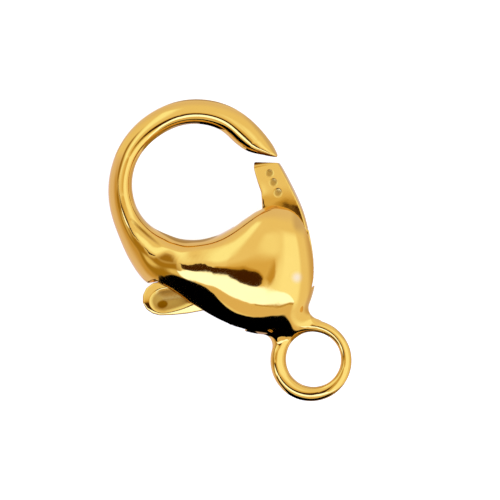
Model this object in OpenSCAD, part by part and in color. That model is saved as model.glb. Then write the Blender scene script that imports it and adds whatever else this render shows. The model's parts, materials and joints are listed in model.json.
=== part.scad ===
// Lobster clasp: a cast claw with its chain eye, a trigger lever that turns on a rivet, and a leaf spring.
// Millimetres. The clasp is drawn flat, with its eye's centre at the origin and its hook towards +Y,
// and is then laid down as it rests on a table, with the origin under the middle of its box.

/* [Claw] */
// Distance from the centre of the chain eye to the centre of the hook's opening
hook_to_eye = 9.48; // [9:0.02:11]
// Radius of the hook's round opening
opening_r = 2.7; // [2.4:0.02:2.9]
// Width of the hook's metal, seen from the front
hook_w = 1.05; // [0.8:0.05:1.2]
// Thickness of the hook's metal, front to back
hook_t = 1.1; // [0.9:0.05:1.3]
// Thickness of the body at its belly, front to back
belly_t = 3.8; // [3.4:0.1:4.4]

/* [Chain eye] */
// Inside diameter of the chain eye
eye_d = 2.44; // [2:0.02:2.6]
// Diameter of the chain eye's round wire
eye_wire_d = 0.6; // [0.5:0.02:0.8]

/* [Trigger lever] */
// Thickness of the lever, front to back
lever_t = 1.3; // [1.1:0.05:1.5]
// Gap between the lever and the walls of its slot
slot_gap = 0.08; // [0.05:0.01:0.12]
// Radius of the lever's boss round the rivet
boss_r = 0.74; // [0.6:0.02:0.8]
// Distance from the rivet to the tip of the thumb tab
tab_reach = 6.95; // [6.4:0.05:7.2]
// Width of the thumb tab
tab_w = 1.5; // [1.2:0.05:1.7]
// Gap between the end of the gate and the point of the hook
gate_gap = 0.28; // [0.2:0.02:0.5]
// Depth of the scoop in each face of the thumb tab
scoop_depth = 0.34; // [0.2:0.02:0.4]
// How far the lever turns to open the gate, in degrees
opening_turn = 20; // [15:1:22]

/* [Rivet] */
// Place of the rivet across the clasp, from its centre line
rivet_x = 1.5; // [1.4:0.02:1.6]
// Place of the rivet along the clasp, from the centre of the chain eye
rivet_y = 3.45; // [3.35:0.02:3.55]
// Diameter of the rivet
rivet_d = 0.7; // [0.5:0.02:0.8]
// Radial gap between the rivet and the lever's bore
turning_gap = 0.03; // [0.02:0.005:0.05]
// Radial gap between the rivet and the claw's bores
fixing_gap = 0.01; // [0.01:0.005:0.02]

/* [Leaf spring] */
// Thickness of the spring's strip
spring_t = 0.14; // [0.1:0.01:0.18]
// Width of the spring's strip, front to back
spring_w = 0.9; // [0.7:0.05:1]

/* [Hidden] */

GOLD = "gold";
PALE_GOLD = "khaki";
STEEL = "silver";

// Facets round a section of the claw, and degrees between its sections
SECTION_SIDES = 24;
SECTION_STEP = 4;
// Facets of a turned surface
TURNED = 64;

eye_r = eye_d / 2 + eye_wire_d / 2;
body_reach = hook_to_eye - opening_r - eye_r;
slot_w = lever_t + 2 * slot_gap;
PIVOT = [rivet_x, rivet_y];

// The claw's sections stand round the centre of the hook's opening, at angles from +X.
// Columns: angle, inner radius as a share of opening_r, width as shares of hook_w and of body_reach,
// place of the crest across the width, thickness from the hook's (0) to the belly's (1), and
// roundness of the inner and the outer flank, where 2 is an ellipse and more is squarer.
SECTIONS = [
    [-17, 1.44, 1.19, 0.000, 0.34, -0.08, 2.0, 2.0],
    [-13, 1.26, 1.22, 0.000, 0.34, -0.04, 2.0, 2.0],
    [ -8, 1.13, 1.18, 0.000, 0.34, -0.02, 2.0, 2.0],
    [ -3, 1.05, 1.14, 0.000, 0.34,  0.00, 2.0, 2.0],
    [  4, 0.99, 1.10, 0.000, 0.34,  0.00, 2.0, 2.0],
    [ 14, 0.97, 1.08, 0.000, 0.34,  0.01, 2.0, 2.0],
    [ 30, 1.00, 1.07, 0.000, 0.34,  0.01, 2.0, 2.0],
    [ 60, 0.99, 1.01, 0.000, 0.33,  0.02, 2.0, 2.0],
    [ 90, 0.97, 0.95, 0.000, 0.33,  0.04, 2.0, 2.0],
    [130, 1.01, 0.99, 0.000, 0.36,  0.07, 2.0, 2.0],
    [160, 1.02, 1.13, 0.000, 0.40,  0.11, 2.0, 2.0],
    [180, 1.01, 1.30, 0.000, 0.42,  0.16, 2.0, 2.0],
    [192, 0.99, 0.73, 0.165, 0.42,  0.22, 2.0, 2.0],
    [202, 0.96, 0.00, 0.368, 0.42,  0.30, 2.0, 2.0],
    [211, 0.94, 0.00, 0.422, 0.41,  0.40, 2.1, 2.1],
    [220, 0.94, 0.00, 0.425, 0.40,  0.52, 2.2, 2.3],
    [230, 0.93, 0.00, 0.480, 0.41,  0.65, 2.3, 2.5],
    [240, 0.93, 0.00, 0.578, 0.41,  0.79, 2.4, 2.7],
    [249, 0.93, 0.00, 0.710, 0.42,  0.90, 2.5, 2.8],
    [256, 0.93, 0.00, 0.820, 0.42,  0.96, 2.6, 2.6],
    [263, 0.94, 0.00, 0.930, 0.42,  1.00, 2.7, 2.0],
    [270, 0.94, 0.00, 1.000, 0.42,  1.00, 2.8, 1.7],
    [277, 0.96, 0.00, 0.930, 0.43,  0.98, 2.9, 2.0],
    [284, 0.98, 0.00, 0.850, 0.44,  0.93, 3.0, 2.5],
    [292, 1.02, 0.00, 0.729, 0.46,  0.86, 3.1, 2.5],
    [301, 1.10, 0.00, 0.580, 0.49,  0.76, 3.2, 2.2],
    [312, 1.18, 0.00, 0.446, 0.50,  0.62, 3.2, 2.0],
    [320, 1.11, 0.00, 0.362, 0.50,  0.50, 3.2, 2.0],
    [330, 1.04, 0.00, 0.288, 0.50,  0.40, 3.2, 2.0],
    [346, 1.02, 0.00, 0.210, 0.50,  0.30, 3.2, 2.0]
];
ANGLE = 0;
INNER = 1;
HOOK_SHARE = 2;
BODY_SHARE = 3;
CREST = 4;
BELLY = 5;
INNER_ROUND = 6;
OUTER_ROUND = 7;

// The hook's pointed end and the neck are lofted in fine steps, and the rest in plain ones
hook_end_angle = SECTIONS[0][ANGLE];
TIP_SPAN = 12;
FINE_STEP = 2;
NECK_START = 251;
NECK_END = 289;
// The cheeks end round the gate here, and are rounded off over the last few degrees
MOUTH_ANGLE = 312;
MOUTH_SPAN = 9;
MOUTH_END_SHARE = 0.5;
MOUTH_STEPS = [0.3, 0.6, 0.8, 0.92, 1];

// Value of one of the table's columns at an angle, on a smooth curve through its rows
function slope(column, row) =
    let(low = max(row - 1, 0), high = min(row + 1, len(SECTIONS) - 1))
    (SECTIONS[high][column] - SECTIONS[low][column]) / (SECTIONS[high][ANGLE] - SECTIONS[low][ANGLE]);
function row_below(angle) = max([for (row = [0:len(SECTIONS) - 2]) if (SECTIONS[row][ANGLE] <= angle) row]);
function smooth(column, angle) =
    let(
        row = row_below(angle),
        start = SECTIONS[row],
        end = SECTIONS[row + 1],
        span = end[ANGLE] - start[ANGLE],
        s = (angle - start[ANGLE]) / span
    )
    start[column] * (2 * s ^ 3 - 3 * s ^ 2 + 1) + end[column] * (3 * s ^ 2 - 2 * s ^ 3)
    + span * (slope(column, row) * (s ^ 3 - 2 * s ^ 2 + s) + slope(column, row + 1) * (s ^ 3 - s ^ 2));

function inner_r(angle) = opening_r * smooth(INNER, angle);
function outer_r(angle) =
    opening_r + hook_w * smooth(HOOK_SHARE, angle) + body_reach * smooth(BODY_SHARE, angle);
function crest_r(angle) = inner_r(angle) + (outer_r(angle) - inner_r(angle)) * smooth(CREST, angle);
function half_t(angle) = (hook_t + (belly_t - hook_t) * smooth(BELLY, angle)) / 2;
function direction(angle) = [cos(angle), sin(angle)];
function at(radius, angle) = [0, hook_to_eye] + radius * direction(angle);
function signed_power(x, power) = sign(x) * abs(x) ^ power;

// Share of its full size that a section keeps as the cheeks are rounded off at the mouth
function mouth_share(angle) =
    let(into = max(0, angle - (MOUTH_ANGLE - MOUTH_SPAN)) / MOUTH_SPAN)
    MOUTH_END_SHARE + (1 - MOUTH_END_SHARE) * sqrt(1 - min(into, 1) ^ 2);

// One section of the claw: a half oval on each side of the crest
function section(angle) =
    let(
        crest = crest_r(angle),
        share = mouth_share(angle),
        outer_power = 2 / smooth(OUTER_ROUND, angle),
        inner_power = 2 / smooth(INNER_ROUND, angle)
    )
    [for (side = [0:SECTION_SIDES - 1])
        let(
            turn = 360 * side / SECTION_SIDES,
            width = cos(turn) > 0 ? outer_r(angle) - crest : crest - inner_r(angle),
            power = cos(turn) > 0 ? outer_power : inner_power,
            point = at(crest + width * signed_power(cos(turn), power) * share, angle)
        )
        [point.x, point.y, half_t(angle) * signed_power(sin(turn), power) * share]];

// One section of the form that rounds the lever's back: the outer flank, square on its inner side
BACK_SIDES = 12;
function back_section(angle) =
    let(
        crest = crest_r(angle),
        inside = at(inner_r(angle) / 2, angle),
        power = 2 / smooth(OUTER_ROUND, angle)
    )
    concat(
        [[inside.x, inside.y, -half_t(angle)]],
        [for (side = [0:BACK_SIDES])
            let(
                turn = 180 * side / BACK_SIDES - 90,
                width = outer_r(angle) - slot_gap / 2 - crest,
                point = at(crest + width * signed_power(cos(turn), power), angle)
            )
            [point.x, point.y, half_t(angle) * signed_power(sin(turn), power)]],
        [[inside.x, inside.y, half_t(angle)]]
    );

// A form lofted through closed sections that all have the same number of points
module loft(sections) {
    rings = len(sections);
    sides = len(sections[0]);
    polyhedron(
        points = [for (section = sections) each section],
        faces = concat(
            [[for (side = [sides - 1:-1:0]) side]],
            [for (ring = [0:rings - 2], side = [0:sides - 1])
                let(a = ring * sides + side, b = ring * sides + (side + 1) % sides)
                each [[a, b + sides, a + sides], [a, b, b + sides]]],
            [[for (side = [0:sides - 1]) (rings - 1) * sides + side]]
        )
    );
}

function evenly(start, end, step) =
    let(count = ceil((end - start) / step))
    [for (i = [0:count]) start + (end - start) * i / count];

claw_angles = concat(
    evenly(hook_end_angle, hook_end_angle + TIP_SPAN, FINE_STEP),
    evenly(hook_end_angle + TIP_SPAN + SECTION_STEP, NECK_START - FINE_STEP, SECTION_STEP),
    evenly(NECK_START, NECK_END, FINE_STEP),
    evenly(NECK_END + SECTION_STEP, MOUTH_ANGLE - MOUTH_SPAN, SECTION_STEP),
    [for (share = MOUTH_STEPS) MOUTH_ANGLE - MOUTH_SPAN * (1 - share)]
);

// The lever seen from the front. Its back and gate keep to the claw's outline, and its thumb arm is
// placed by its distance along a line from the rivet and by its height above that line.
TAB_ANGLE = 157;
BACK_START = 291;
BACK_STEP = 4;
ARC_STEP = 10;
gate_end_outer = 360 + hook_end_angle - gate_gap / outer_r(hook_end_angle) * 180 / PI;
GATE_END_SLANT = 6;
gate_end_inner = gate_end_outer + GATE_END_SLANT;
GATE_CORNER_SHARE = 1.06;
GATE_EDGE_ANGLES = [340, 333, 326, 319, 312];
ARMPIT = [-0.45, 2];
HEEL_ANGLE = 348;
HEEL_CLEARANCE = 18;
function beside_arm(along, above, turn = 0) =
    PIVOT + along * direction(TAB_ANGLE + turn) + above * direction(TAB_ANGLE + turn - 90);

// Columns: distance from the rivet as a share of tab_reach, and height as a share of tab_w
TAB_OUTLINE = [
    [0.46, 0.46], [0.66, 0.54], [0.84, 0.63], [0.91, 0.63], [0.96, 0.52], [0.99, 0.33], [1.00, 0.12],
    [0.985, -0.10], [0.95, -0.26], [0.91, -0.35], [0.83, -0.41], [0.73, -0.45], [0.62, -0.45]
];
lever_outline = concat(
    [for (angle = evenly(BACK_START, gate_end_outer, BACK_STEP)) at(outer_r(angle) - slot_gap / 2, angle)],
    [at(opening_r * GATE_CORNER_SHARE, gate_end_inner)],
    [for (angle = GATE_EDGE_ANGLES) at(inner_r(angle), angle)],
    [PIVOT + ARMPIT],
    [for (row = TAB_OUTLINE) beside_arm(row[0] * tab_reach, row[1] * tab_w)],
    [for (angle = evenly(TAB_ANGLE + 90, HEEL_ANGLE, ARC_STEP)) PIVOT + boss_r * direction(angle)]
);

// The back's form starts under the rivet and runs past the gate's end. The arm lies in a plain block.
BACK_LEAD = 12;
BACK_RUN_ON = 1;
ARM_SIDE = 2;
ARM_END = 1;
module lever_body() {
    back_angles = evenly(BACK_START - BACK_LEAD, gate_end_inner + BACK_RUN_ON, SECTION_STEP);
    intersection() {
        translate([0, 0, -lever_t / 2]) linear_extrude(lever_t) polygon(lever_outline);
        union() {
            loft([for (angle = back_angles) back_section(angle)]);
            translate([rivet_x, rivet_y, -lever_t])
                rotate(TAB_ANGLE - 90)
                translate([-ARM_SIDE, -ARM_END, 0])
                cube([2 * ARM_SIDE, tab_reach + 2 * ARM_END, 2 * lever_t]);
        }
    }
}

// The scoop in a face of the thumb tab: a round-ended trough
SCOOP_R = 0.62;
SCOOP_FROM = 0.71;
SCOOP_TO = 0.885;
SCOOP_ABOVE = 0.07;
module scoop() {
    start = beside_arm(SCOOP_FROM * tab_reach, SCOOP_ABOVE * tab_w);
    along = (SCOOP_TO - SCOOP_FROM) * tab_reach;
    translate([start.x, start.y, lever_t / 2 + SCOOP_R - scoop_depth]) rotate(TAB_ANGLE) {
        sphere(r = SCOOP_R, $fn = TURNED / 2);
        rotate([0, 90, 0]) cylinder(r = SCOOP_R, h = along, $fn = TURNED / 2);
        translate([along, 0, 0]) sphere(r = SCOOP_R, $fn = TURNED / 2);
    }
}

module trigger_lever() color(GOLD) {
    difference() {
        lever_body();
        scoop();
        mirror([0, 0, 1]) scoop();
        translate([rivet_x, rivet_y, -lever_t])
            cylinder(r = rivet_d / 2 + turning_gap, h = 2 * lever_t, $fn = TURNED);
    }
}

// The slot that the lever turns in: open at the mouth, the right flank and the left flank, with a
// bridge above the thumb arm and a floor that the arm comes down to when the gate is fully open
BRIDGE_END = [-1.05, 2.45];
FAR = 3;
slot_outline = concat(
    [[FAR + opening_r, rivet_y], at(FAR + opening_r, gate_end_inner), PIVOT + BRIDGE_END + [0, FAR]],
    [PIVOT + BRIDGE_END],
    [for (row = [0:2]) beside_arm(TAB_OUTLINE[row][0] * tab_reach, TAB_OUTLINE[row][1] * tab_w + slot_gap)],
    [beside_arm(tab_reach + FAR, TAB_OUTLINE[2][1] * tab_w + slot_gap)],
    [beside_arm(tab_reach + FAR, -boss_r - slot_gap, opening_turn)],
    [for (angle = evenly(TAB_ANGLE + 90 + opening_turn, HEEL_ANGLE - HEEL_CLEARANCE, ARC_STEP))
        PIVOT + (boss_r + slot_gap) * direction(angle)],
    [PIVOT + FAR * direction(HEEL_ANGLE - HEEL_CLEARANCE)]
);

module rivet_bore() {
    translate([rivet_x, rivet_y, -belly_t])
        cylinder(r = rivet_d / 2 + fixing_gap, h = 2 * belly_t, $fn = TURNED);
}

module skin() {
    loft([for (angle = claw_angles) section(angle)]);
}

module claw() color(GOLD) {
    difference() {
        union() {
            skin();
            rotate_extrude($fn = TURNED) translate([eye_r, 0]) circle(d = eye_wire_d, $fn = TURNED / 2);
        }
        translate([0, 0, -slot_w / 2]) linear_extrude(slot_w) polygon(slot_outline);
        rivet_bore();
    }
}

// The rivet is filed flush with the cheeks
module rivet() color(PALE_GOLD) {
    intersection() {
        skin();
        translate([rivet_x, rivet_y, -belly_t]) cylinder(d = rivet_d, h = 2 * belly_t, $fn = TURNED);
    }
}

// The spring's strip runs along the slot's floor and bows up to the underside of the thumb arm
SPRING_ROOT = 0.85;
SPRING_BEND = 1.9;
SPRING_END = 3;
SPRING_STEPS = 12;
spring_low = -boss_r - slot_gap + fixing_gap + spring_t / 2;
arm_under = TAB_OUTLINE[len(TAB_OUTLINE) - 1][1] * tab_w - slot_gap / 2 - spring_t;
spring_tip = [
    SPRING_END * cos(opening_turn) - arm_under * sin(opening_turn),
    SPRING_END * sin(opening_turn) + arm_under * cos(opening_turn)
];
function spring_path(s) =
    (1 - s) ^ 2 * [SPRING_ROOT, spring_low] + 2 * s * (1 - s) * [SPRING_BEND, spring_low]
    + s ^ 2 * spring_tip;
function spring_across(s) =
    let(
        at_root = [SPRING_BEND - SPRING_ROOT, 0],
        at_tip = spring_tip - [SPRING_BEND, spring_low],
        run = (1 - s) * at_root + s * at_tip
    )
    [-run.y, run.x] / norm(run);
function on_floor(point) = beside_arm(point.x, point.y, opening_turn);

module leaf_spring() color(STEEL) {
    edge = [for (side = [1, -1], i = [0:SPRING_STEPS])
        let(s = side > 0 ? i / SPRING_STEPS : 1 - i / SPRING_STEPS)
        on_floor(spring_path(s) + side * spring_t / 2 * spring_across(s))];
    translate([0, 0, -spring_w / 2]) linear_extrude(spring_w) polygon(edge);
}

// At rest the clasp lies on its belly and on the crown of its hook, and rolls a little to its thumb tab
REST_ROLL = 1.4;
function rolled(point) = [
    point.x * cos(REST_ROLL) + point.z * sin(REST_ROLL),
    point.y,
    point.z * cos(REST_ROLL) - point.x * sin(REST_ROLL)
];
function pitched(point, pitch) = [
    point.x,
    point.y * cos(pitch) - point.z * sin(pitch),
    point.y * sin(pitch) + point.z * cos(pitch)
];
skin_points = [for (angle = claw_angles, point = section(angle)) rolled(point)];
hook_points = [for (point = skin_points) if (point.y > hook_to_eye) point];
body_points = [for (point = skin_points) if (point.y <= hook_to_eye) point];
function lowest(points, pitch) = min([for (point = points) pitched(point, pitch).z]);
// Halves the range of pitch until the hook's lowest point and the body's are level
function level_pitch(low, high, halvings) =
    let(middle = (low + high) / 2)
    halvings == 0 ? middle
    : lowest(hook_points, middle) < lowest(body_points, middle) ? level_pitch(middle, high, halvings - 1)
    : level_pitch(low, middle, halvings - 1);
STEEPEST_PITCH = -30;
HALVINGS = 14;
rest_pitch = level_pitch(STEEPEST_PITCH, 0, HALVINGS);

lever_points = [for (point = lever_outline, z = [-lever_t / 2, lever_t / 2]) rolled([point.x, point.y, z])];
box_points = [for (point = concat(skin_points, lever_points)) pitched(point, rest_pitch)];
eye_low_y = -eye_r * cos(rest_pitch) - eye_wire_d / 2;
box_middle = [
    (min([for (point = box_points) point.x]) + max([for (point = box_points) point.x])) / 2,
    (eye_low_y + max([for (point = box_points) point.y])) / 2,
    min([for (point = box_points) point.z])
];
module at_rest() {
    translate(-box_middle) rotate([rest_pitch, 0, 0]) rotate([0, REST_ROLL, 0]) children();
}

at_rest() claw();
at_rest() trigger_lever();
at_rest() rivet();
at_rest() leaf_spring();
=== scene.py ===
"""A cast gold lobster clasp, lying as it rests on a table, seen square to its own plane.

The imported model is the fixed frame. The pieces are drawn flat in millimetres, with the chain eye's centre
at the origin and the hook towards +Y, and are then laid where the frame's mounts say that the clasp lies.
"""

import json
import math

import bmesh
import bpy
from mathutils import Matrix, Vector


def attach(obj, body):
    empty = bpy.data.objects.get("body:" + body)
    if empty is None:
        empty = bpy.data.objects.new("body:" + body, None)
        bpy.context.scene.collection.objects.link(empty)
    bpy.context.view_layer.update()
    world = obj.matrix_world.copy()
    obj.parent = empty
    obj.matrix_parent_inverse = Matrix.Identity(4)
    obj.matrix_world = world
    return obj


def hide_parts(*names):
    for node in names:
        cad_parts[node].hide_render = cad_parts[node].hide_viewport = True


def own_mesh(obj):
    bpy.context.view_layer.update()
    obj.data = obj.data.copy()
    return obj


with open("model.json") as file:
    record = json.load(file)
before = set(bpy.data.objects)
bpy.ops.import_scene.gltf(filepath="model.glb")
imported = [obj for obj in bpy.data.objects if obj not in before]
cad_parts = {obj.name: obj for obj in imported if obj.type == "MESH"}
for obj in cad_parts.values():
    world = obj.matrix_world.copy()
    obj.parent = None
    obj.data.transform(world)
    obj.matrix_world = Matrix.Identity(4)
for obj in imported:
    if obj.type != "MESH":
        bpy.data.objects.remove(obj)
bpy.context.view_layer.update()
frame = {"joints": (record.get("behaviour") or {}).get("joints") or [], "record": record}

# The clasp's own plane, as it lies on its belly and on the crown of its hook.
# The chain eye, the hook's round opening and the line through them are the frame's two mounts.
MM = 0.001
mounts = {mount["name"]: mount for mount in frame["record"]["mounts"]}
eye_place = Vector(mounts["chain_eye"]["pos_m"])
hook_place = Vector(mounts["hook_throat"]["pos_m"])
to_hook = (hook_place - eye_place).normalized()
to_front = Vector(mounts["chain_eye"]["axis"]).normalized()
to_side = to_hook.cross(to_front).normalized()
clasp_axes = Matrix((to_side, to_hook, to_front)).transposed()
laid_down = Matrix.Translation(eye_place) @ clasp_axes.to_4x4() @ Matrix.Scale(MM, 4)
HOOK_TO_EYE = (hook_place - eye_place).length / MM

# The claw: hook, belly with its two cheeks, neck and chain eye in one yellow gold casting. It is cast
# solid, filed, slotted for the lever and polished, with the eye's wire cast on.
OPENING_R = 2.7
HOOK_W = 1.05
HOOK_T = 1.1
BELLY_T = 3.8
EYE_R = 1.52
EYE_WIRE_R = 0.3
BODY_REACH = HOOK_TO_EYE - OPENING_R - EYE_R
# Angle round the hook's opening in degrees. Then, as shares of the sizes above, the inner radius, the width
# at the hook and in the body, the crest's place and the thickness from the hook's to the belly's. Last, the
# squareness of the inner and the outer flank.
CLAW_SECTIONS = (
    (-16.2, 1.44, 1.19, 0.000, 0.36, -0.08, 2.2, 2.0),
    (-13, 1.29, 1.22, 0.000, 0.36, -0.04, 2.3, 2.0),
    (-8, 1.125, 1.18, 0.000, 0.37, -0.02, 2.35, 2.0),
    (-3, 1.035, 1.14, 0.000, 0.38, 0.00, 2.35, 2.0),
    (4, 0.98, 1.10, 0.000, 0.40, 0.00, 2.35, 2.0),
    (14, 0.955, 1.08, 0.000, 0.42, 0.01, 2.35, 2.0),
    (30, 0.99, 1.07, 0.000, 0.42, 0.01, 2.35, 2.0),
    (60, 0.985, 1.01, 0.000, 0.41, 0.02, 2.35, 2.0),
    (90, 0.97, 0.95, 0.000, 0.40, 0.04, 2.35, 2.0),
    (130, 1.01, 0.99, 0.000, 0.40, 0.07, 2.35, 2.0),
    (160, 1.02, 1.13, 0.000, 0.41, 0.11, 2.3, 2.0),
    (180, 1.01, 1.30, 0.000, 0.42, 0.14, 2.3, 2.0),
    (192, 0.99, 0.73, 0.165, 0.42, 0.20, 2.2, 2.0),
    (202, 0.96, 0.00, 0.368, 0.42, 0.31, 2.0, 2.0),
    (211, 0.94, 0.00, 0.422, 0.41, 0.38, 2.1, 2.1),
    (220, 0.94, 0.00, 0.425, 0.40, 0.56, 2.2, 2.3),
    (230, 0.93, 0.00, 0.480, 0.41, 0.68, 2.3, 2.5),
    (240, 0.93, 0.00, 0.578, 0.41, 0.79, 3.1, 2.7),
    (249, 0.93, 0.00, 0.710, 0.42, 0.90, 3.2, 2.8),
    (256, 0.93, 0.00, 0.820, 0.42, 0.96, 3.3, 2.6),
    (263, 0.94, 0.00, 0.930, 0.42, 1.00, 3.4, 2.0),
    (270, 0.94, 0.00, 1.000, 0.42, 1.00, 3.5, 1.7),
    (277, 0.96, 0.00, 0.935, 0.43, 0.98, 3.6, 2.0),
    (284, 0.98, 0.00, 0.862, 0.44, 0.93, 3.7, 2.5),
    (292, 1.02, 0.00, 0.745, 0.46, 0.86, 3.8, 2.5),
    (301, 1.10, 0.00, 0.595, 0.49, 0.735, 3.9, 2.2),
    (312, 1.18, 0.00, 0.458, 0.50, 0.55, 3.9, 2.0),
    (320, 1.11, 0.00, 0.374, 0.50, 0.44, 3.9, 2.0),
    (330, 1.04, 0.00, 0.296, 0.50, 0.40, 3.9, 2.0),
    (346, 1.02, 0.00, 0.216, 0.50, 0.30, 3.9, 2.0),
)
ANGLE, INNER, HOOK_SHARE, BODY_SHARE, CREST, BELLY, INNER_ROUND, OUTER_ROUND = range(8)
SECTION_SIDES = 144
SECTION_STEP = 1
EVENED = 5
MOUTH_ANGLE = 313.8
MOUTH_SPAN = 15
MOUTH_END_SHARE = 0.15


def rise(column, row):
    """The slope of a column of the table at one of its rows."""
    low, high = CLAW_SECTIONS[max(row - 1, 0)], CLAW_SECTIONS[min(row + 1, len(CLAW_SECTIONS) - 1)]
    return (high[column] - low[column]) / (high[ANGLE] - low[ANGLE])


def through_rows(column, angle):
    """A column of the table at any angle, on a curve through its rows."""
    row = max(i for i in range(len(CLAW_SECTIONS) - 1) if CLAW_SECTIONS[i][ANGLE] <= angle or i == 0)
    start, end = CLAW_SECTIONS[row], CLAW_SECTIONS[row + 1]
    span = end[ANGLE] - start[ANGLE]
    s = (angle - start[ANGLE]) / span
    level = start[column] * (2 * s**3 - 3 * s**2 + 1) + end[column] * (3 * s**2 - 2 * s**3)
    lean = rise(column, row) * (s**3 - 2 * s**2 + s) + rise(column, row + 1) * (s**3 - s**2)
    return level + span * lean


def along(column, angle):
    """The same, evened out over a few degrees, as a file evens out the casting."""
    reach = max(0.0, min(EVENED, angle - CLAW_SECTIONS[0][ANGLE], CLAW_SECTIONS[-1][ANGLE] - angle))
    places = [angle + reach * share for share in (-1, -0.6, -0.2, 0.2, 0.6, 1)]
    return sum(through_rows(column, place) for place in places) / len(places)


def inner_r(angle):
    return OPENING_R * along(INNER, angle)


def outer_r(angle):
    return OPENING_R + HOOK_W * along(HOOK_SHARE, angle) + BODY_REACH * along(BODY_SHARE, angle)


def crest_r(angle):
    return inner_r(angle) + (outer_r(angle) - inner_r(angle)) * along(CREST, angle)


def half_t(angle):
    return (HOOK_T + (BELLY_T - HOOK_T) * along(BELLY, angle)) / 2


def round_hook(radius, angle, height=0.0):
    """A point at a radius and an angle round the hook's opening."""
    turn = math.radians(angle)
    return Vector((radius * math.cos(turn), HOOK_TO_EYE + radius * math.sin(turn), height))


def signed_power(x, power):
    return math.copysign(abs(x) ** power, x)


def mouth_share(angle):
    """Share of its full size that a section keeps as the cheeks are rounded off at the mouth."""
    into = min(max(0.0, angle - (MOUTH_ANGLE - MOUTH_SPAN)) / MOUTH_SPAN, 1.0)
    return MOUTH_END_SHARE + (1 - MOUTH_END_SHARE) * math.sqrt(1 - into**2)


def edges_round(points):
    return list({edge for point in points for edge in point.link_edges if edge.other_vert(point) in points})


def claw_ring(casting, angle):
    """One section of the claw: a circle squared and stretched into a half oval on each side of the crest."""
    ring = bmesh.ops.create_circle(casting, segments=SECTION_SIDES, radius=1)["verts"]
    crest, thickest, share = crest_r(angle), half_t(angle), mouth_share(angle)
    inwards = (crest - inner_r(angle)) * share, 2 / along(INNER_ROUND, angle)
    outwards = (outer_r(angle) - crest) * math.sqrt(share), 2 / along(OUTER_ROUND, angle)
    for point in ring:
        across, thick = point.co.x, point.co.y
        width, power = outwards if across > 0 else inwards
        height = thickest * signed_power(thick, power) * share
        point.co = round_hook(crest + width * signed_power(across, power), angle, height)
    return edges_round(set(ring))


def evenly(start, end, step):
    count = math.ceil((end - start) / step)
    return [start + (end - start) * i / count for i in range(count + 1)]


def piece_from(shape, name):
    """An object that holds a finished bmesh."""
    mesh = bpy.data.meshes.new(name)
    bmesh.ops.recalc_face_normals(shape, faces=shape.faces)
    shape.to_mesh(mesh)
    shape.free()
    piece = bpy.data.objects.new(name, mesh)
    bpy.context.scene.collection.objects.link(piece)
    return piece


def settle(piece):
    """Makes a piece's modifiers its mesh."""
    bpy.context.view_layer.update()
    seen = piece.evaluated_get(bpy.context.evaluated_depsgraph_get())
    made = bpy.data.meshes.new_from_object(seen)
    piece.modifiers.clear()
    piece.data = made


def work(piece, tool, operation):
    """Joins a tool's shape to a piece, or cuts the piece with it, and puts the tool away."""
    step = piece.modifiers.new("work", "BOOLEAN")
    step.operation, step.solver, step.object = operation, "EXACT", tool
    settle(piece)
    bpy.data.objects.remove(tool)


def soften(piece, grain, passes):
    """Rounds the edges as casting and polishing leave them: an even skin, smoothed a few times."""
    skin = piece.modifiers.new("skin", "REMESH")
    skin.mode, skin.voxel_size, skin.use_smooth_shade = "VOXEL", grain, True
    polish = piece.modifiers.new("polish", "SMOOTH")
    polish.factor, polish.iterations = 0.5, passes
    settle(piece)


def prism(outline, thickness, name):
    """A plate of an outline's shape, half of its thickness on each side of the clasp's plane."""
    plate = bmesh.new()
    corners = bmesh.ops.create_circle(plate, cap_ends=True, segments=len(outline), radius=1)["verts"]
    for corner, (x, y) in zip(corners, outline):
        corner.co = (x, y, -thickness / 2)
    raised = bmesh.ops.extrude_face_region(plate, geom=plate.faces[:])["geom"]
    bmesh.ops.translate(
        plate, verts=[part for part in raised if isinstance(part, bmesh.types.BMVert)], vec=(0, 0, thickness)
    )
    return piece_from(plate, name)


def rod(radius, length, centre, name):
    """A round bar through the clasp's plane."""
    bar = bmesh.new()
    bmesh.ops.create_cone(
        bar, cap_ends=True, segments=96, radius1=radius, radius2=radius, depth=length,
        matrix=Matrix.Translation((*centre, 0)),
    )
    return piece_from(bar, name)


def loft(name, ring_at, places):
    """A form bridged through its sections, and closed at both ends."""
    form = bmesh.new()
    rings = [ring_at(form, place) for place in places]
    for lower, upper in zip(rings, rings[1:]):
        bmesh.ops.bridge_loops(form, edges=lower + upper)
    for end in (rings[0], rings[-1]):
        bmesh.ops.contextual_create(form, geom=end)
    return piece_from(form, name)


claw_angles = evenly(CLAW_SECTIONS[0][ANGLE], MOUTH_ANGLE, SECTION_STEP)
claw = loft("claw_casting", claw_ring, claw_angles)

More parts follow.
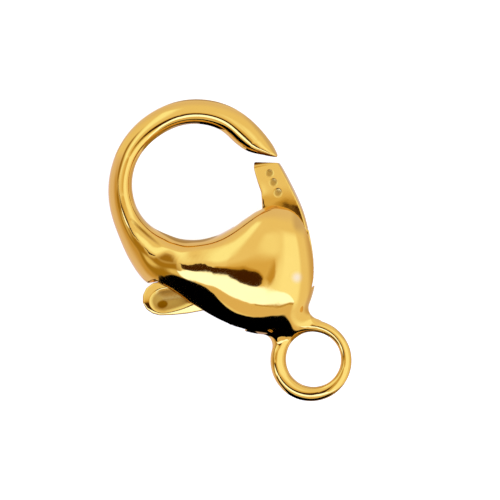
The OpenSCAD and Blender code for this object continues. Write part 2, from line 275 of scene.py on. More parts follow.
# The claw's chain eye: a flattened round wire of the same gold, thicker on the side that was filed least,
# and worn a little aslant by the chain's link.
EYE_STEPS = 144
EYE_FLAT = 2.7
EYE_WIRE_LEAN = 0.06
LEAN_INWARDS = 0.75
LEAST_FILED = Vector((-0.99, 0.14))
EYE_WEAR = 0.21
MOST_WORN = Vector((0.67, -0.74))
eye = bmesh.new()
wire = bmesh.ops.create_circle(
    eye, segments=48, radius=EYE_WIRE_R,
    matrix=Matrix.Translation((EYE_R, 0, 0)) @ Matrix.Rotation(math.pi / 2, 4, "X"),
)["verts"]
bmesh.ops.spin(
    eye, geom=wire + edges_round(set(wire)), cent=(0, 0, 0), axis=(0, 0, 1), angle=2 * math.pi,
    steps=EYE_STEPS, use_merge=True,
)
bmesh.ops.remove_doubles(eye, verts=eye.verts, dist=0.001)
for point in eye.verts:
    from_axis = point.co.xy.length
    around = (from_axis - EYE_R) / EYE_WIRE_R
    height = EYE_WIRE_R * (1 - min(1.0, abs(around)) ** EYE_FLAT) ** (1 / EYE_FLAT)
    point.co.z = math.copysign(height, point.co.z)
    point.co.z -= EYE_WEAR * (from_axis - EYE_R) * point.co.xy.dot(MOST_WORN) / from_axis
    thicker = EYE_WIRE_LEAN * point.co.xy.dot(LEAST_FILED) / from_axis
    point.co.z *= 1 + thicker / EYE_WIRE_R
    inwards = (EYE_R + EYE_WIRE_R - from_axis) / EYE_WIRE_R
    moved_in = thicker * (LEAN_INWARDS * inwards - (1 - LEAN_INWARDS) * (2 - inwards))
    point.co.xy *= 1 - moved_in / from_axis
work(claw, piece_from(eye, "eye"), "UNION")

# The claw's neck: height above the eye's centre, left and right edge, and half of its thickness
NECK_SECTIONS = (
    (2.60, -1.31, 1.50, 1.22),
    (2.40, -1.14, 1.38, 1.11),
    (2.13, -1.03, 1.24, 0.94),
    (1.85, -1.00, 1.11, 0.70),
    (1.66, -1.04, 1.12, 0.54),
    (1.50, -1.12, 1.19, 0.42),
    (1.38, -1.22, 1.27, 0.31),
    (1.28, -1.32, 1.36, 0.16),
)


def neck_ring(form, section):
    height, left, right, thick = section
    ring = bmesh.ops.create_circle(form, segments=SECTION_SIDES, radius=1)["verts"]
    for point in ring:
        across = (left + right) / 2 + (right - left) / 2 * point.co.x
        point.co = (across, height, thick * point.co.y)
    return edges_round(set(ring))


work(claw, loft("neck", neck_ring, NECK_SECTIONS), "UNION")

# The slot, cut through the middle of the claw, that the lever turns in. It leaves room for the lever at
# rest and with its tab pressed down, and its wall goes round the lever's boss.
LEVER_T = 1.3
SLOT_GAP = 0.08
STOP_GAP = 0.025
PIVOT = Vector((1.5, 3.45))
RIVET_R = 0.35
TURNING_GAP = 0.03
BOSS_R = 0.74
TAB_REACH = 6.95
TAB_W = 1.5
TAB_ANGLE = 157
OPENING_TURN = max(frame["joints"][0]["range_deg"])
GATE_GAP = 0.28
HEEL_ANGLE = 348
HEEL_CLEARANCE = 45
GATE_END_OUTER = 360 + CLAW_SECTIONS[0][ANGLE] - math.degrees(GATE_GAP / outer_r(CLAW_SECTIONS[0][ANGLE]))
GATE_SLANT = 6
GATE_END_INNER = GATE_END_OUTER + GATE_SLANT
BRIDGE_END = Vector((-1.05, 2.45))
FAR = 3
BOSS_STEP, BACK_STEP = 5, 3
# Distance from the rivet and height above the arm's line, as shares of the tab's reach and width
TAB_OUTLINE = (
    (0.46, 0.46), (0.66, 0.54), (0.84, 0.63), (0.91, 0.63), (0.96, 0.52), (0.99, 0.33), (1.00, 0.12),
    (0.985, -0.10), (0.95, -0.26), (0.91, -0.35), (0.83, -0.41), (0.73, -0.45), (0.62, -0.45),
)


def direction(angle):
    return Vector((math.cos(math.radians(angle)), math.sin(math.radians(angle))))


def beside_arm(reach, above, turn=0):
    return PIVOT + reach * direction(TAB_ANGLE + turn) + above * direction(TAB_ANGLE + turn - 90)


slot_outline = [
    Vector((FAR + OPENING_R, PIVOT.y)),
    round_hook(FAR + OPENING_R, GATE_END_INNER).xy,
    PIVOT + BRIDGE_END + Vector((0, FAR)),
    PIVOT + BRIDGE_END,
    *(beside_arm(TAB_REACH * r, TAB_W * h + STOP_GAP) for r, h in TAB_OUTLINE[:3]),
    beside_arm(TAB_REACH + FAR, TAB_W * TAB_OUTLINE[2][1] + STOP_GAP),
    beside_arm(TAB_REACH + FAR, -BOSS_R - SLOT_GAP, OPENING_TURN),
    *(
        PIVOT + (BOSS_R + SLOT_GAP) * direction(angle)
        for angle in evenly(TAB_ANGLE + 90 + OPENING_TURN, HEEL_ANGLE - HEEL_CLEARANCE, BOSS_STEP)
    ),
    PIVOT + FAR * direction(HEEL_ANGLE - HEEL_CLEARANCE),
]
work(claw, prism(slot_outline, LEVER_T + 2 * SLOT_GAP, "slot"), "DIFFERENCE")
soften(claw, grain=0.053, passes=9)

# The cheeks' broad faces and the neck are polished until no unevenness is left, the hook's faces less
CHEEK_FROM, CHEEK_TO = 0.85, 1.1
NECK_AT, NECK_FROM, NECK_TO = Vector((0.05, 2.05)), 1.4, 0.9
HOOK_FROM, HOOK_TO, HOOK_POLISH = 0.15, 0.35, 0.25
HOOK_SIDE = -OPENING_R * 0.8
BUFFING_PASSES = 98
buffed = claw.vertex_groups.new(name="buffed")
for point in claw.data.vertices:
    share = max(
        (abs(point.co.z) - CHEEK_FROM) / (CHEEK_TO - CHEEK_FROM),
        ((point.co.xy - NECK_AT).length - NECK_FROM) / (NECK_TO - NECK_FROM),
    )
    if point.co.y > HOOK_TO_EYE or point.co.x < HOOK_SIDE:
        hook_share = min(1.0, (abs(point.co.z) - HOOK_FROM) / (HOOK_TO - HOOK_FROM))
        share = max(share, HOOK_POLISH * hook_share)
    if share > 0:
        buffed.add([point.index], min(1.0, share), "REPLACE")
buffing = claw.modifiers.new("buffing", "SMOOTH")
buffing.factor, buffing.iterations, buffing.vertex_group = 0.5, BUFFING_PASSES, "buffed"
settle(claw)

# Where the hook's ridge runs into the body, a file has left a fine crease. Its bottom is painted dark brown
# as shade, with a satin skin.
CREASE = ((-3.20, 9.72), (-3.10, 9.20), (-2.96, 8.66), (-2.72, 7.90))
CREASE_DEPTH, CREASE_HALF_W = 0.045, 0.06
CREASE_REACH = 1.6


def filed_away(spot):
    """How far the file has cut at a spot, as a share of the crease's depth."""
    deepest = 0.0
    for i, (start, end) in enumerate(zip(CREASE, CREASE[1:])):
        start, run = Vector(start), Vector(end) - Vector(start)
        share = min(1.0, max(0.0, (spot - start).dot(run) / run.length_squared))
        away = (spot - start - run * share).length / CREASE_HALF_W
        if away < 3:
            deepest = max(deepest, math.sin(math.pi * (i + share) / (len(CREASE) - 1)) * math.exp(-(away**2)))
    return deepest


# A copy of the cheeks, a hair larger, that the rivet's heads are later filed to
cheeks = bpy.data.objects.new("cheeks", claw.data.copy())
bpy.context.scene.collection.objects.link(cheeks)
RIVET_PROUD = 0.004
larger = cheeks.modifiers.new("larger", "DISPLACE")
larger.strength, larger.mid_level = RIVET_PROUD, 0
settle(cheeks)

# Painted shade: the crease's bottom takes a dark brown colour and a satin skin
shade_and_satin = claw.data.attributes.new("shade_and_satin", "FLOAT", "POINT")
for point, painted_shade_share in zip(claw.data.vertices, shade_and_satin.data):
    if (point.co.xy - Vector(CREASE[1])).length < CREASE_REACH:
        painted_shade_share.value = filed_away(point.co.xy)
        point.co.z -= math.copysign(CREASE_DEPTH * painted_shade_share.value, point.co.z)
claw.data.transform(laid_down)

# Height of the buffing lines, in millimetres
BUFFING_LINES = 0.00005


def worked_metal(name, light, deep, sheen, waviness, painted_tone=None, painted_tone_colour=None, painted_tone_satin=0.0):
    """Worked metal: its colour wanders a little, its skin is faintly wavy and has fine buffing lines.

    An attribute of the piece gives where another colour is painted on and how far the skin turns satin there:
    painted shade in the claw's crease and in the lever's hollows and edges, and on the rivet's ends a paler
    gold that fades out as a painted highlight.
    """
    metal = bpy.data.materials.new(name)
    metal.use_nodes = True
    nodes, links = metal.node_tree.nodes, metal.node_tree.links
    shader = nodes["Principled BSDF"]
    shader.inputs["Metallic"].default_value = 1

    def add(kind, **values):
        node = nodes.new(kind)
        for key, value in values.items():
            if hasattr(node, key):
                setattr(node, key, value)
            else:
                node.inputs[key.replace("_", " ")].default_value = value
        return node

    place = add("ShaderNodeMapping", Scale=(1 / MM,) * 3)
    links.new(nodes.new("ShaderNodeTexCoord").outputs["Object"], place.inputs["Vector"])

    def noise(scale, detail, stretch=(1, 1, 1)):
        stretched = add("ShaderNodeMapping", Scale=stretch)
        texture = add("ShaderNodeTexNoise", Scale=scale, Detail=detail)
        links.new(place.outputs[0], stretched.inputs["Vector"])
        links.new(stretched.outputs[0], texture.inputs["Vector"])
        return texture.outputs["Fac"]

    tone = add("ShaderNodeMix", data_type="RGBA")
    tone.inputs[6].default_value, tone.inputs[7].default_value = (*light, 1), (*deep, 1)
    links.new(noise(0.7, 3), tone.inputs["Factor"])
    if painted_tone:
        painted_tone_share = add("ShaderNodeAttribute", attribute_name=painted_tone).outputs["Fac"]
        painted_tone_mix = add("ShaderNodeMix", data_type="RGBA")
        painted_tone_mix.inputs[7].default_value = (*painted_tone_colour, 1)
        links.new(painted_tone_share, painted_tone_mix.inputs["Factor"])
        links.new(tone.outputs[2], painted_tone_mix.inputs[6])
        tone = painted_tone_mix
    links.new(tone.outputs[2], shader.inputs["Base Color"])
    gloss = add("ShaderNodeMapRange")
    gloss.inputs[3].default_value, gloss.inputs[4].default_value = sheen
    links.new(noise(2.2, 4), gloss.inputs[0])
    if painted_tone:
        satin = add("ShaderNodeMath", operation="MULTIPLY_ADD")
        satin.inputs[1].default_value = painted_tone_satin
        links.new(painted_tone_share, satin.inputs[0])
        links.new(gloss.outputs[0], satin.inputs[2])
        gloss = satin
    links.new(gloss.outputs[0], shader.inputs["Roughness"])
    before = None
    for scale, detail, stretch, height in (
        (0.9, 1, (1, 1, 1), waviness * MM),
        (3.5, 2, (1, 1, 1), waviness * MM / 6),
        (9, 3, (1, 6, 1), BUFFING_LINES * MM),
    ):
        bump = add("ShaderNodeBump", Strength=1, Distance=height)
        links.new(noise(scale, detail, stretch), bump.inputs["Height"])
        if before:
            links.new(before.outputs[0], bump.inputs["Normal"])
        before = bump
    links.new(before.outputs[0], shader.inputs["Normal"])
    return metal


GOLD_LIGHT, GOLD_DEEP = (0.84, 0.53, 0.125), (0.81, 0.495, 0.102)
# Dark brown painted as shade into the claw's crease and into the lever's scoop, dimples and gate bevel
PAINTED_SHADE_BROWN = (0.29, 0.105, 0.0)
claw.data.materials.clear()
claw.data.materials.append(
    worked_metal("polished_yellow_gold", GOLD_LIGHT, GOLD_DEEP, (0.035, 0.06), 0.0022, "shade_and_satin", PAINTED_SHADE_BROWN, 0.3)
)
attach(claw, "claw_body")
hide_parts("claw")

# The trigger lever: gate, boss and thumb tab in one gold casting, as thick as the slot lets it turn.
# Its back keeps to the claw's outline.
BACK_START = 291
BACK_LEAD = 12
GATE_CORNER_SHARE = 1.06
GATE_EDGE_ANGLES = (340, 333, 326, 319, 312)
ARMPIT = Vector((-0.45, 2))
HEEL_SINK = 0.09
A_HAIR = 0.001


def back_r(angle):
    """The radius of the lever's back, which sinks in between the cheeks towards its heel."""
    below_mouth = min(1.0, max(0.0, (MOUTH_ANGLE - angle) / (MOUTH_ANGLE - BACK_START)))
    return outer_r(angle) - SLOT_GAP / 2 - HEEL_SINK * below_mouth


lever_outline = [
    *(round_hook(back_r(a), a).xy for a in evenly(BACK_START, GATE_END_OUTER, BACK_STEP)),
    round_hook(OPENING_R * GATE_CORNER_SHARE, GATE_END_INNER).xy,
    *(round_hook(inner_r(angle), angle).xy for angle in GATE_EDGE_ANGLES),
    PIVOT + ARMPIT,
    *(beside_arm(TAB_REACH * reach, TAB_W * above) for reach, above in TAB_OUTLINE),
    *(PIVOT + BOSS_R * direction(angle) for angle in evenly(TAB_ANGLE + 90, HEEL_ANGLE, BOSS_STEP)),
]
lever = prism(lever_outline, LEVER_T, "thumb_lever")


def back_ring(form, angle):
    """One section of the form that rounds the lever's back: the outer flank, square on its inner side."""
    ring = bmesh.ops.create_circle(form, segments=SECTION_SIDES, radius=1)["verts"]
    crest, thickest, power = crest_r(angle), half_t(angle), 2 / along(OUTER_ROUND, angle)
    inside, width = inner_r(angle) / 2, back_r(angle) - crest
    for point in ring:
        across, thick = point.co.x, point.co.y
        if across >= -A_HAIR:
            radius = crest + width * signed_power(max(across, 0), power)
            height = thickest * signed_power(thick, power)
        else:
            radius, height = inside, thickest * thick
        point.co = round_hook(radius, angle, height)
    return edges_round(set(ring))


back_form = loft(
    "back_form", back_ring, evenly(BACK_START - BACK_LEAD, GATE_END_INNER + 1, SECTION_STEP)
)
ARM_SIDE, ARM_END = 2, 1
arm_block = bmesh.new()
bmesh.ops.create_cube(
    arm_block, size=1,
    matrix=Matrix.Translation((*PIVOT, 0))
    @ Matrix.Rotation(math.radians(TAB_ANGLE - 90), 4, "Z")
    @ Matrix.Translation((0, TAB_REACH / 2, 0))
    @ Matrix.Diagonal((2 * ARM_SIDE, TAB_REACH + 2 * ARM_END, 2 * LEVER_T, 1)),
)
work(back_form, piece_from(arm_block, "arm_block"), "UNION")
work(lever, back_form, "INTERSECT")
work(lever, rod(RIVET_R + TURNING_GAP, 2 * LEVER_T, PIVOT, "lever_bore"), "DIFFERENCE")
soften(lever, grain=0.034, passes=10)

# The tab's faces are crowned and a thumb scoop is pressed into each. The gate's faces fall away towards
# its tip, end in a bevel that is widest on the inner side, and are slightly hollow at the claw. Three
# plain round dimples are punched in a row in each.
# The scoop, its deepest corner, the dimples and the gate's bevel are painted darker brown as shade, with a
# satin skin.
TAB_CROWN = 0.06
TAB_MIDDLE = 0.1
# The scoop: its deepest place as shares of the tab's reach and width, its half length towards the tip
# and towards the rivet, its half width and depth, the painted shade in it, and its corner where painted
# shade is darkest
SCOOP_AT = (0.86, 0.06)
SCOOP_TO_TIP, SCOOP_TO_RIVET, SCOOP_HALF_W = 0.68, 1.7, 0.56
SCOOP_DEPTH = 0.24
SCOOP_SHADE = 0.62
SHADE_CORNER_AT = (0.877, -0.045)
SHADE_CORNER_LONG, SHADE_CORNER_WIDE = 0.28, 0.21
GATE_FALL = 0.15
GATE_HOLLOW = 0.05
GATE_BEVEL = (0.17, 0.03)
GATE_BEVEL_DEPTH = 0.26
GATE_FROM, GATE_TO = MOUTH_ANGLE - 12, GATE_END_INNER + 2
# How much faster painted shade comes in at a place than it gets deeper
SCOOP_SPREAD, DIMPLE_SPREAD, BEVEL_SPREAD = 3, 2, 2.2
# Angle and share across the gate of each dimple
DIMPLES = ((334, 0.46), (327, 0.46), (320, 0.46))
DIMPLE_R, DIMPLE_DEPTH, DIMPLE_SHADE = 0.2, 0.03, 0.6
along_tab, above_tab = direction(TAB_ANGLE), direction(TAB_ANGLE - 90)
dimples = [round_hook(inner_r(a) + s * (outer_r(a) - inner_r(a)), a).xy for a, s in DIMPLES]


def bowl(long, wide):
    """Depth of a bowl with a soft rim, at a place given in shares of its half length and half width."""
    return max(0.0, 1 - long**2 - wide**2) ** 1.5


# Painted shade in the scoop, darkest in its corner, in the dimples and on the gate's bevel
shade_and_satin = lever.data.attributes.new("shade_and_satin", "FLOAT", "POINT")
for point, painted_shade_share in zip(lever.data.vertices, shade_and_satin.data):
    side = math.copysign(1, point.co.z)
    face = min(1.0, abs(point.co.z) / (LEVER_T / 2)) ** 4
    from_pivot = point.co.xy - PIVOT
    reach, above = from_pivot.dot(along_tab), from_pivot.dot(above_tab)
    if reach > TAB_REACH / 2:
        long, wide = reach - SCOOP_AT[0] * TAB_REACH, above - SCOOP_AT[1] * TAB_W
        pressed = bowl(long / (SCOOP_TO_TIP if long > 0 else SCOOP_TO_RIVET), wide / SCOOP_HALF_W)
        crowned = TAB_CROWN * (2 * (above - TAB_MIDDLE) / TAB_W) ** 2
        long, wide = reach - SHADE_CORNER_AT[0] * TAB_REACH, above - SHADE_CORNER_AT[1] * TAB_W
        shaded_corner = bowl(long / SHADE_CORNER_LONG, wide / SHADE_CORNER_WIDE)
        painted_shade_share.value = face * min(1.0, shaded_corner + SCOOP_SHADE * min(1.0, SCOOP_SPREAD * pressed))
        point.co.z -= side * face * (crowned + SCOOP_DEPTH * pressed)
        continue
    from_hook = point.co.xy - Vector((0, HOOK_TO_EYE))
    angle = math.degrees(math.atan2(from_hook.y, from_hook.x)) % 360
    if not GATE_FROM < angle < GATE_TO:
        continue
    across = (from_hook.length - inner_r(angle)) / (outer_r(angle) - inner_r(angle))
    lengthways = min(1.0, max(0.0, (angle - MOUTH_ANGLE) / (GATE_END_OUTER - MOUTH_ANGLE)))
    sink = GATE_FALL * lengthways**2 - GATE_HOLLOW * (1 - lengthways) * (2 * across - 1) ** 2
    for dimple in dimples:
        pressed = bowl((point.co.xy - dimple).length / DIMPLE_R, 0)
        sink += DIMPLE_DEPTH * pressed
        painted_shade_share.value += DIMPLE_SHADE * min(1.0, DIMPLE_SPREAD * pressed)
    end_angle = GATE_END_INNER + (GATE_END_OUTER - GATE_END_INNER) * across
    from_end = math.radians(end_angle - angle) * from_hook.length
    bevel = GATE_BEVEL[0] + (GATE_BEVEL[1] - GATE_BEVEL[0]) * across
    bevelled = max(0.0, bevel - max(0.0, from_end)) / GATE_BEVEL[0]
    painted_shade_share.value = max(painted_shade_share.value, min(1.0, BEVEL_SPREAD * bevelled))
    point.co.z -= side * face * (sink + GATE_BEVEL_DEPTH * bevelled**2)
lever.data.transform(laid_down)
lever.data.materials.clear()
lever.data.materials.append(
    worked_metal("buffed_yellow_gold", GOLD_LIGHT, GOLD_DEEP, (0.04, 0.09), 0.003, "shade_and_satin", PAINTED_SHADE_BROWN, 0.5)
)
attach(lever, "lever_body")
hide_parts("trigger_lever")

# The rivet: a pin of paler gold through both cheeks and the lever's boss. Its ends are hammered over
# and filed down until they follow the cheeks, and only their colour still shows; on each end that colour
# fades out from the centre as a painted highlight.
RIM_ANGLE = 40
# Paler gold on the rivet's ends, strongest at the centre and fading outwards: the paler pin and a painted
# highlight
PALE_GOLD = (0.80, 0.575, 0.36)
HIGHLIGHT_FADE = 2.5
rivet = rod(RIVET_R, 2 * BELLY_T, PIVOT, "rivet_pin")
work(rivet, cheeks, "INTERSECT")
work(rivet, rod(RIVET_R - RIVET_PROUD, LEVER_T + 4 * SLOT_GAP, PIVOT, "shank"), "UNION")
for face in rivet.data.polygons:
    face.use_smooth = True
rivet.data.set_sharp_from_angle(angle=math.radians(RIM_ANGLE))
# Painted highlight: paler gold that fades out from the rivet's centre
pale = rivet.data.attributes.new("pale", "FLOAT", "POINT")
for point, share in zip(rivet.data.vertices, pale.data):
    share.value = max(0.0, 1 - ((point.co.xy - PIVOT).length / RIVET_R) ** 2) ** HIGHLIGHT_FADE
rivet.data.transform(laid_down)
rivet.data.materials.clear()
rivet.data.materials.append(
    worked_metal("pale_rivet_gold_with_painted_highlight", GOLD_LIGHT, GOLD_DEEP, (0.06, 0.12), 0.004, "pale", PALE_GOLD)
)
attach(rivet, "claw_body")
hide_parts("rivet")

# The leaf spring: a strip of rolled steel along the slot's floor, bent up to the underside of the
# thumb arm, which it pushes back.
SPRING_T, SPRING_W, SPRING_EDGE = 0.14, 0.9, 0.025
SPRING_ROOT, SPRING_BEND, SPRING_END = 0.85, 1.9, 3
SPRING_STEPS = 24
FIXING_GAP = 0.01
floor_height = -BOSS_R - SLOT_GAP
spring_low = floor_height + FIXING_GAP + SPRING_T / 2
arm_under = TAB_OUTLINE[-1][1] * TAB_W - SLOT_GAP / 2 - SPRING_T
opened = Matrix.Rotation(math.radians(OPENING_TURN), 2)
spring_path = (
    Vector((SPRING_ROOT, spring_low)),
    Vector((SPRING_BEND, spring_low)),
    opened @ Vector((SPRING_END, arm_under)),
)
strip = bmesh.new()
bmesh.ops.create_grid(strip, x_segments=SPRING_STEPS, y_segments=4, size=0.5)
for point in strip.verts:
    s, width = point.co.x + 0.5, point.co.y * SPRING_W
    root, bend, tip = spring_path
    reach, above = (1 - s) ** 2 * root + 2 * s * (1 - s) * bend + s**2 * tip
    point.co = (*beside_arm(reach, above, OPENING_TURN), width)
spring = piece_from(strip, "spring_strip")
rolled = spring.modifiers.new("rolled", "SOLIDIFY")
rolled.thickness, rolled.offset = SPRING_T, 0
edges = spring.modifiers.new("edges", "BEVEL")
edges.width, edges.segments = SPRING_EDGE, 2
settle(spring)
spring.data.transform(laid_down)
STEEL_LIGHT, STEEL_DEEP = (0.56, 0.55, 0.53), (0.48, 0.47, 0.46)
spring.data.materials.append(
    worked_metal("rolled_spring_steel", STEEL_LIGHT, STEEL_DEEP, (0.22, 0.34), 0.003)
)
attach(spring, "claw_body")
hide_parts("leaf_spring")
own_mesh(spring)

# The table that the clasp lies on, covered with white paper that is lit from all sides. The metal doesn't
# mirror it.
floor_shape = bmesh.new()
bmesh.ops.create_grid(floor_shape, x_segments=1, y_segments=1, size=0.5)
floor = piece_from(floor_shape, "table_top")
paper = bpy.data.materials.new("white_paper")
paper.use_nodes = True
white = paper.node_tree.nodes["Principled BSDF"].inputs
white["Base Color"].default_value = (0.5, 0.5, 0.5, 1)
white["Emission Color"].default_value = (1, 1, 1, 1)
white["Emission Strength"].default_value = 0.8
floor.data.materials.append(paper)
floor.visible_glossy = False

# The camera, square to the clasp's plane as in the photograph. The eye's centre is given in the picture's
# pixels, and the lean is the clasp's turn in the picture.
EYE_AT = Vector((311.57, 360.22))
PICTURE = Vector((500, 500))
MM_PER_PIXEL = 0.04464
LEAN = math.radians(33.72)
CAMERA_AWAY = 200
SENSOR = 36
right = Vector((math.cos(LEAN), -math.sin(LEAN), 0))
up = Vector((math.sin(LEAN), math.cos(LEAN), 0))
from_eye = (PICTURE / 2 - EYE_AT) * MM_PER_PIXEL
aim = right * from_eye.x - up * from_eye.y
camera_data = bpy.data.cameras.new("camera")
camera_data.sensor_width = SENSOR
camera_data.lens = SENSOR * CAMERA_AWAY / (PICTURE.x * MM_PER_PIXEL)
camera_data.clip_start, camera_data.clip_end = 0.01, 10
camera = bpy.data.objects.new("camera", camera_data)
bpy.context.scene.collection.objects.link(camera)
camera_place = laid_down @ (aim + Vector((0, 0, CAMERA_AWAY)))
camera_axes = clasp_axes @ Matrix((right, up, Vector((0, 0, 1)))).transposed()
camera.matrix_world = Matrix.Translation(camera_place) @ camera_axes.to_4x4()
bpy.context.scene.camera = camera

# The studio: a white tent all round, a lamp and a few soft cards. Each card is placed by the tilt of the
# metal that mirrors it to the camera: how far that metal leans to the picture's right and to its top.
world = bpy.data.worlds.new("studio")
bpy.context.scene.world = world
world.use_nodes = True
studio = world.node_tree


def studio_node(kind, **inputs):
    """A node of the studio, with its inputs given as values or as other nodes' outputs, by place."""
    node = studio.nodes.new(kind)
    for place, value in inputs.items():
        socket = node.inputs[int(place.strip("i"))]
        if isinstance(value, bpy.types.NodeSocket):
            studio.links.new(value, socket)
        else:
            socket.default_value = value
    return node


def vector_math(operation, a, b):
    node = studio_node("ShaderNodeVectorMath", i0=a, i1=b)
    node.operation = operation
    return node.outputs["Value" if operation == "DOT_PRODUCT" else "Vector"]


def plain_math(operation, a, b=0.0, c=0.0):
    node = studio_node("ShaderNodeMath", i0=a, i1=b, i2=c)
    node.operation = operation
    return node.outputs[0]


def fading(distance, reach, softness):
    """1 up to the reach, falling softly to 0 round it."""
    node = studio_node(
        "ShaderNodeMapRange", i0=plain_math("ABSOLUTE", distance), i1=reach + softness, i2=reach - softness,
        i3=0.0, i4=1.0,
    )
    node.interpolation_type = "SMOOTHSTEP"
    return node.outputs[0]


picture_right, picture_up = clasp_axes @ right, clasp_axes @ up
sky = studio.nodes.new("ShaderNodeTexCoord").outputs["Generated"]
mirror_tilt = vector_math("NORMALIZE", vector_math("ADD", sky, to_front), Vector())
lean_right = vector_math("DOT_PRODUCT", mirror_tilt, picture_right)
lean_up = vector_math("DOT_PRODUCT", mirror_tilt, picture_up)
curve_place = plain_math("MULTIPLY_ADD", lean_right, 0.5, 0.5)


def hung_edge(points):
    """The lean upwards of a card's edge, on a smooth curve through its points."""
    node = studio_node("ShaderNodeFloatCurve", i1=curve_place)
    line = node.mapping.curves[0]
    for right_lean, up_lean in points[1:-1]:
        line.points.new((right_lean + 1) / 2, (up_lean + 1) / 2)
    for knot, (right_lean, up_lean) in zip(line.points, points):
        knot.location = ((right_lean + 1) / 2, (up_lean + 1) / 2)
        knot.handle_type = "AUTO_CLAMPED"
    node.mapping.extend = "HORIZONTAL"
    node.mapping.update()
    return plain_math("MULTIPLY_ADD", node.outputs[0], 2.0, -1.0)


def under(edge, softness):
    """1 below an edge, falling softly to 0 above it."""
    node = studio_node(
        "ShaderNodeMapRange", i0=plain_math("SUBTRACT", edge, lean_up), i1=-softness, i2=softness,
        i3=0.0, i4=1.0,
    )
    node.interpolation_type = "SMOOTHSTEP"
    return node.outputs[0]


def laid_over(light, cover, colour):
    mixed = studio.nodes.new("ShaderNodeMix")
    mixed.data_type = "RGBA"
    studio.links.new(cover, mixed.inputs["Factor"])
    for place, value in ((6, light), (7, (*colour, 1))):
        if isinstance(value, tuple):
            mixed.inputs[place].default_value = value
        else:
            studio.links.new(value, mixed.inputs[place])
    return mixed.outputs[2]


TENT = (1.0, 1.0, 1.0, 1)
# Edges of the long lamp, of the black cloth below it and of the dark slit above it, from left to right
LAMP_TOP = (
    (-0.30, -0.085), (-0.285, -0.08), (-0.262, -0.058), (-0.247, -0.032), (-0.235, -0.026), (-0.226, -0.03),
    (-0.211, -0.034), (-0.182, -0.042), (-0.129, -0.041), (-0.098, -0.047), (-0.066, -0.055), (-0.04, -0.071),
    (0.011, -0.098), (0.047, -0.121), (0.092, -0.149), (0.12, -0.171), (0.144, -0.201), (0.171, -0.242),
    (0.205, -0.276), (0.24, -0.298), (0.326, -0.353), (0.37, -0.384), (0.42, -0.42),
)
LAMP_FOOT = (
    (-0.30, -0.175), (-0.29, -0.172), (-0.259, -0.130), (-0.245, -0.128), (-0.21, -0.121), (-0.168, -0.141),
    (-0.105, -0.193), (-0.019, -0.236), (0.065, -0.277), (0.126, -0.291), (0.197, -0.324), (0.234, -0.355),
    (0.276, -0.393), (0.351, -0.413), (0.42, -0.43),
)
CLOTH_TOP = (
    (-0.50, -0.78), (-0.485, -0.65), (-0.465, -0.52), (-0.446, -0.41), (-0.427, -0.31), (-0.404, -0.25),
    (-0.377, -0.214), (-0.34, -0.196), (-0.30, -0.182), (-0.273, -0.162), (-0.26, -0.168), (-0.25, -0.197),
    (-0.235, -0.229), (-0.222, -0.346), (-0.181, -0.435), (-0.133, -0.488), (-0.069, -0.51), (0.027, -0.522),
    (0.10, -0.518), (0.185, -0.496), (0.252, -0.476), (0.286, -0.488), (0.329, -0.498), (0.396, -0.53),
    (0.43, -0.55),
)
CLOTH_FOOT = (
    (-0.50, -0.86), (-0.39, -0.95), (-0.34, -1.1), (-0.14, -1.1), (-0.09, -0.94), (0.10, -0.93),
    (0.20, -0.90), (0.30, -0.84), (0.43, -0.74),
)
SLIT_TOP = (
    (-0.252, 0.07), (-0.243, 0.056), (-0.23, 0.036), (-0.215, 0.01), (-0.185, -0.004), (-0.125, -0.009),
    (-0.09, -0.011), (-0.04, -0.004), (-0.008, 0.005), (0.016, 0.002), (0.044, -0.007), (0.08, -0.06),
    (0.098, -0.107), (0.104, -0.14),
)
# The slit hangs straight over the lamp, and two thin cards follow the lamp's lower and the slit's upper edge.
SLIT_FOOT = LAMP_TOP[3:15]
BELOW_LAMP = LAMP_FOOT[9:]
OVER_SLIT = SLIT_TOP[4:]


def lowered(edge, drop):
    return tuple((right_lean, up_lean - drop) for right_lean, up_lean in edge)


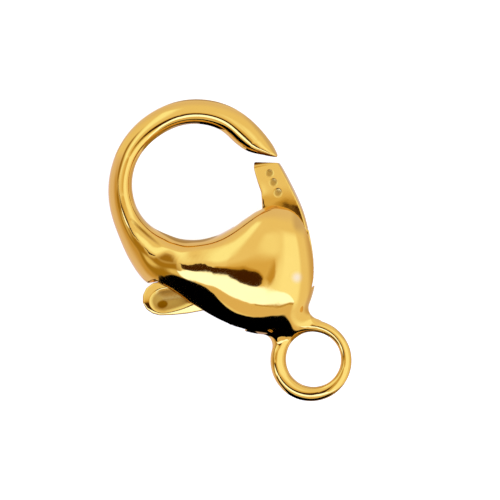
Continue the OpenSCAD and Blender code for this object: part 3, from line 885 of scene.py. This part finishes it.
# Name, colour, softness, upper edge and lower edge of each card
CARDS = (
    ("upper wall", (0.90, 0.87, 1.06), 0.15, ((-0.9, 1.2), (0.9, 1.2)), ((-0.9, 0.55), (0.9, 0.55))),
    ("dim upper right", (0.74, 0.70, 0.84), 0.10, ((0.5, 1.2), (1.0, 1.2)), ((0.5, 0.34), (1.0, 0.34))),
    (
        "brown floor", (0.37, 0.25, 0.06), 0.05,
        ((0.10, -0.50), (0.80, -0.56)),
        ((0.10, -0.85), (0.80, -0.85)),
    ),
    ("rosy floor", (0.52, 0.44, 0.50), 0.04, ((-0.7, -0.86), (0.8, -0.86)), ((-0.7, -1.2), (0.8, -1.2))),
    (
        "pale right wall", (1.20, 1.42, 1.75), 0.06,
        ((0.15, 0.22), (0.50, 0.25)),
        ((0.15, -0.45), (0.50, -0.46)),
    ),
    (
        "dim right end", (0.70, 0.56, 0.40), 0.10,
        ((0.80, 0.35), (1.0, 0.35)),
        ((0.80, -0.52), (1.0, -0.52)),
    ),
    (
        "left wall", (0.90, 0.84, 1.15), 0.06,
        ((-1.0, 0.40), (-0.42, 0.22)),
        ((-1.0, -0.6), (-0.42, -0.70)),
    ),
    (
        "left wall's near end", (0.68, 0.50, 0.24), 0.12,
        ((-0.60, 0.20), (-0.38, 0.12)),
        ((-0.60, -0.36), (-0.38, -0.70)),
    ),
    (
        "pale upper left", (1.2, 1.5, 1.9), 0.04,
        ((-0.23, 0.5), (-0.09, 0.42)),
        ((-0.23, 0.09), (-0.16, 0.06), (-0.09, 0.12)),
    ),
    (
        "pale upper middle", (1.12, 1.25, 1.42), 0.03,
        ((0.06, 0.20), (0.13, 0.20)),
        ((0.06, 0.10), (0.13, 0.06)),
    ),
    (
        "brown upper left", (0.40, 0.26, 0.05), 0.045,
        ((-0.42, 0.28), (-0.285, 0.32)),
        ((-0.42, 0.05), (-0.285, 0.04)),
    ),
    (
        "brown left end", (0.44, 0.29, 0.05), 0.03,
        ((-0.44, 0.02), (-0.275, 0.05)),
        ((-0.44, -0.20), (-0.30, -0.20), (-0.275, -0.09)),
    ),
    (
        "haze over the slit", (0.85, 0.72, 0.46), 0.03,
        ((-0.12, 0.02), (0.12, 0.08)),
        ((-0.12, -0.03), (0.12, -0.18)),
    ),
    ("brown over the slit", (0.60, 0.42, 0.12), 0.008, lowered(OVER_SLIT, -0.014), lowered(OVER_SLIT, 0.02)),
    (
        "tent's seam", (0.66, 0.48, 0.16), 0.012,
        ((0.108, 0.065), (0.122, 0.02), (0.142, -0.10)),
        ((0.108, -0.10), (0.142, -0.19)),
    ),
    (
        "dark rim at the top", (0.50, 0.40, 0.28), 0.03,
        ((-0.4, 1.0), (0.45, 1.0)),
        ((-0.4, 0.91), (0.45, 0.87)),
    ),
    (
        "orange wall", (0.88, 0.78, 0.66), 0.03,
        LAMP_FOOT,
        ((-0.33, -0.2), (-0.2, -0.33), (-0.1, -0.44), (0.0, -0.49), (0.1, -0.5), (0.3, -0.49), (0.4, -0.55)),
    ),
    (
        "brown by the cloth", (0.42, 0.28, 0.04), 0.025,
        ((-0.46, -0.16), (-0.42, -0.10), (-0.36, -0.07), (-0.30, -0.06)),
        ((-0.46, -0.42), (-0.43, -0.33), (-0.40, -0.24), (-0.36, -0.19), (-0.30, -0.17)),
    ),
    ("lamp's brown edge", (0.58, 0.42, 0.10), 0.006, BELOW_LAMP, lowered(BELOW_LAMP, 0.016)),
    (
        "lamp's left end", (0.92, 0.88, 0.72), 0.03,
        ((-0.385, -0.09), (-0.29, -0.07)),
        ((-0.385, -0.185), (-0.29, -0.172)),
    ),
    ("black cloth", (0.0, 0.0, 0.0), 0.012, CLOTH_TOP, CLOTH_FOOT),
    ("lamp", (1.50, 2.10, 4.50), 0.008, LAMP_TOP, LAMP_FOOT),
    ("dark slit", (0.06, 0.02, 0.0), 0.003, SLIT_TOP, SLIT_FOOT),
)
# Metal that turns away from the camera mirrors the dim room behind the tent
ROOM, ROOM_FROM, ROOM_SOFTNESS = (0.78, 0.66, 0.62), 0.90, 0.06
lean_squared = plain_math("ADD", plain_math("POWER", lean_right, 2.0), plain_math("POWER", lean_up, 2.0))
turned_away = plain_math("SUBTRACT", 1.0, fading(plain_math("SQRT", lean_squared), ROOM_FROM, ROOM_SOFTNESS))
light = laid_over(TENT, turned_away, ROOM)
for name, colour, softness, top, foot in CARDS:
    middle, half = (top[0][0] + top[-1][0]) / 2, (top[-1][0] - top[0][0]) / 2
    within = fading(plain_math("SUBTRACT", lean_right, middle), half, softness)
    below_top = under(hung_edge(top), softness)
    above_foot = plain_math("SUBTRACT", 1.0, under(hung_edge(foot), softness))
    cover = plain_math("MULTIPLY", within, plain_math("MULTIPLY", below_top, above_foot))
    light = laid_over(light, cover, colour)
    light.node.label = name
studio.links.new(light, studio.nodes["Background"].inputs["Color"])
bpy.context.scene.view_settings.view_transform = "Standard"
